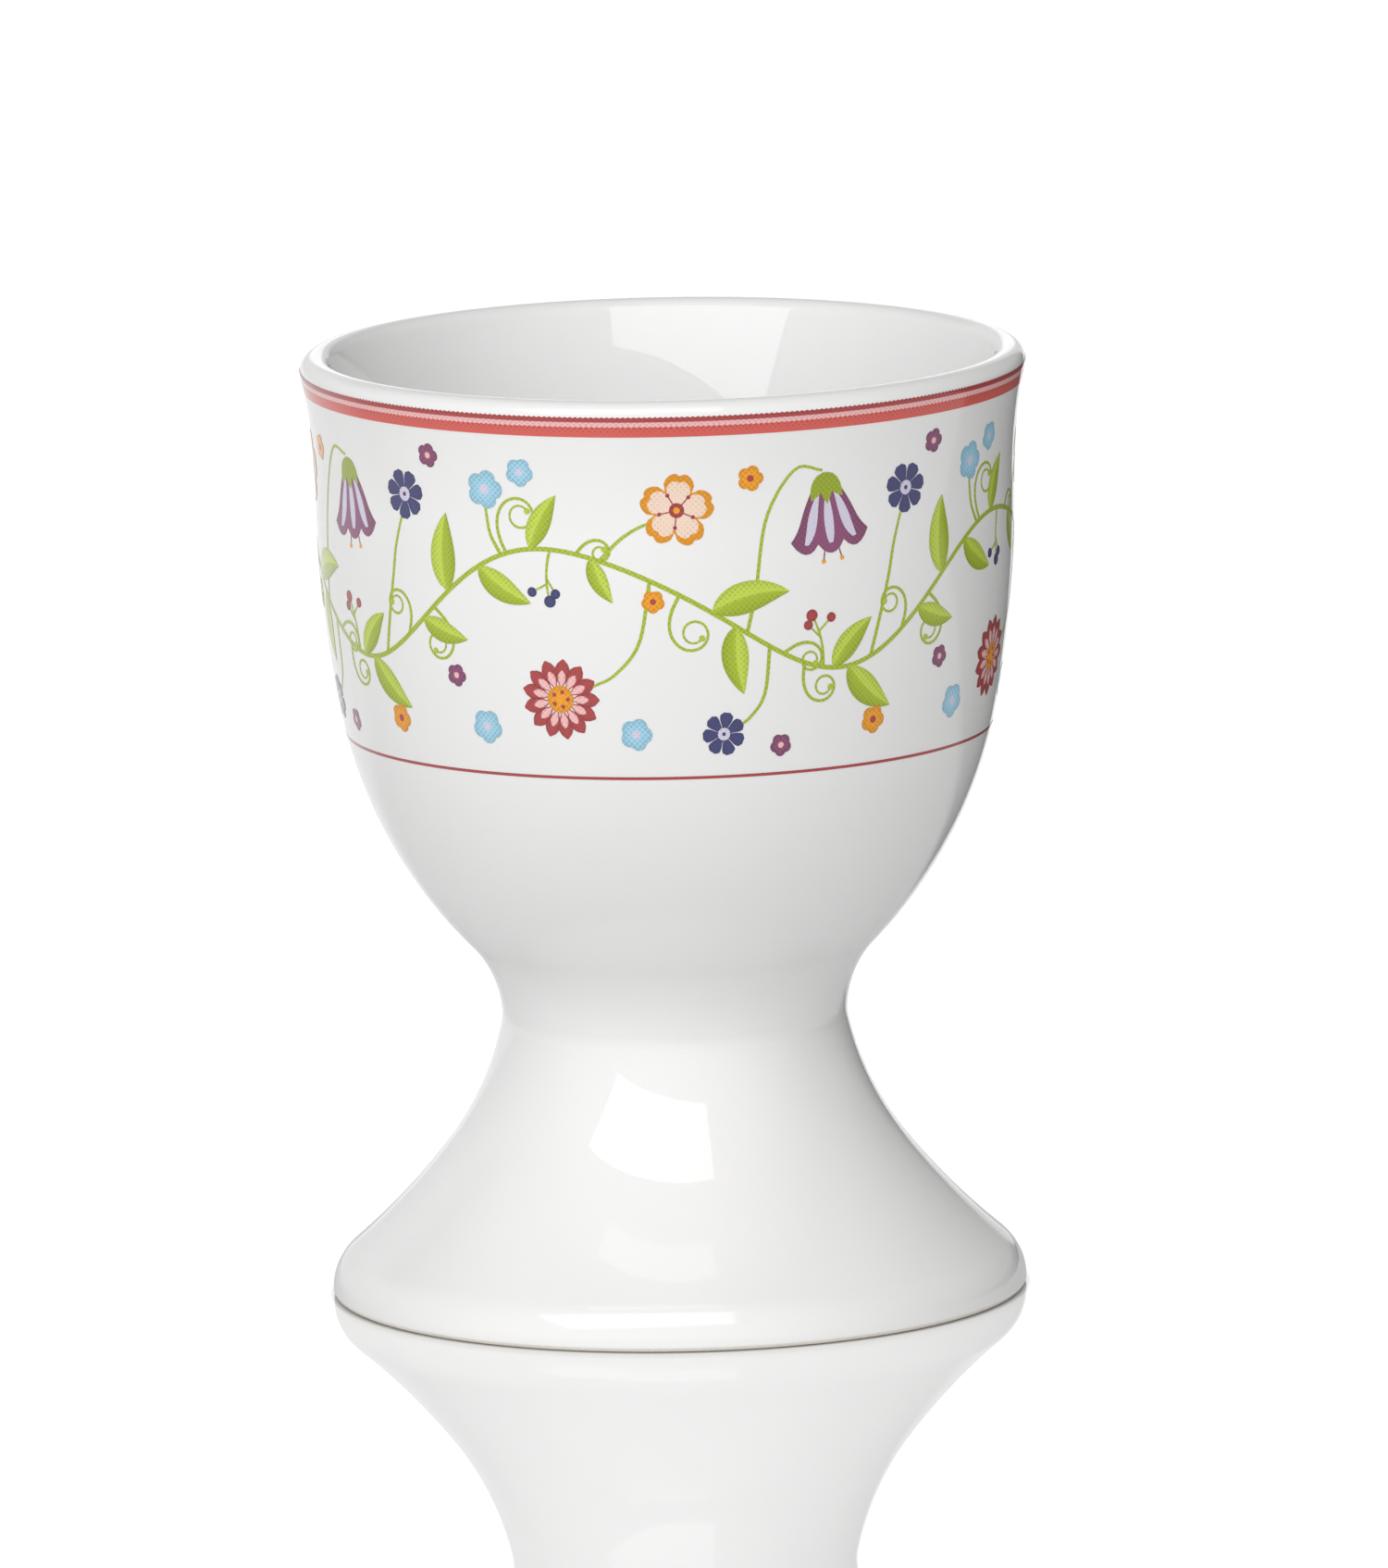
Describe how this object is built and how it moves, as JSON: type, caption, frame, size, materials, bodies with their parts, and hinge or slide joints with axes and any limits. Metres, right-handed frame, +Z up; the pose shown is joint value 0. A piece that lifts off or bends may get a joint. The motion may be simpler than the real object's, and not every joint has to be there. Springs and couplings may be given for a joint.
{
  "type": "egg cup",
  "caption": "Footed egg cup in glazed porcelain: a deep bowl with a rolled lip on a hollow flared foot, with printed rim bands.",
  "frame": {"origin": "on the axis of the cup, in the plane that the foot ring stands on", "axes": "+Z up along the axis, out of the mouth; +Y away from the viewer of the picture; +X to the viewer's right"},
  "size_m": [0.0494, 0.0494, 0.065],
  "materials": {
    "glazed_porcelain": "white porcelain under a clear glossy glaze, fired smooth",
    "fired_slip": "clay slip fired with the body, under the glaze",
    "dark_red_print": "dark red ceramic colour, printed on the glaze and fired, glossy",
    "pale_pink_print": "pale pink ceramic colour, printed on the glaze and fired, glossy",
    "red_print": "brick red ceramic colour, printed on the glaze and fired, glossy"
  },
  "bodies": {
    "root": {"bowl": "glazed_porcelain", "foot": "glazed_porcelain", "slip_joint": "fired_slip", "rim_line": "dark_red_print", "rim_hairline": "pale_pink_print", "rim_band": "red_print", "border_line": "dark_red_print"}
  },
  "joints": []
}
